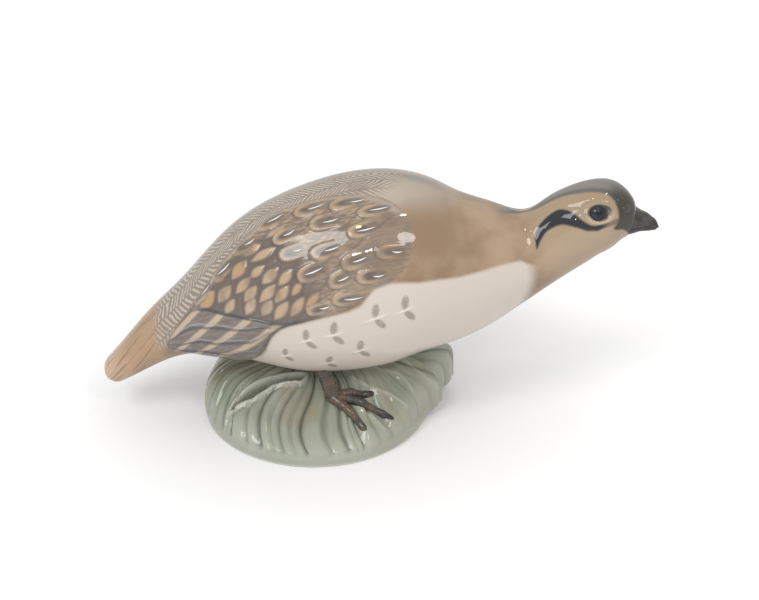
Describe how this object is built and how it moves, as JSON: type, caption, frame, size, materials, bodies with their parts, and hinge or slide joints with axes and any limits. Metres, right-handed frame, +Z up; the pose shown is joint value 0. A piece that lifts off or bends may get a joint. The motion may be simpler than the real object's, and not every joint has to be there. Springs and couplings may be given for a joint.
{
  "type": "porcelain quail figurine",
  "caption": "Life-size glazed porcelain quail leaning forward over a grassy mound, slip-cast hollow with a flat foot ring and a small vent hole.",
  "frame": {"origin": "on the ground under the middle of the bounding box", "axes": "+X from tail to bill, +Y towards the bird's left side, +Z up"},
  "size_m": [0.1798, 0.082, 0.0855],
  "materials": {
    "glazed_porcelain": "glossy underglaze-painted porcelain"
  },
  "bodies": {
    "root": {"quail_figurine": "glazed_porcelain"}
  },
  "joints": []
}
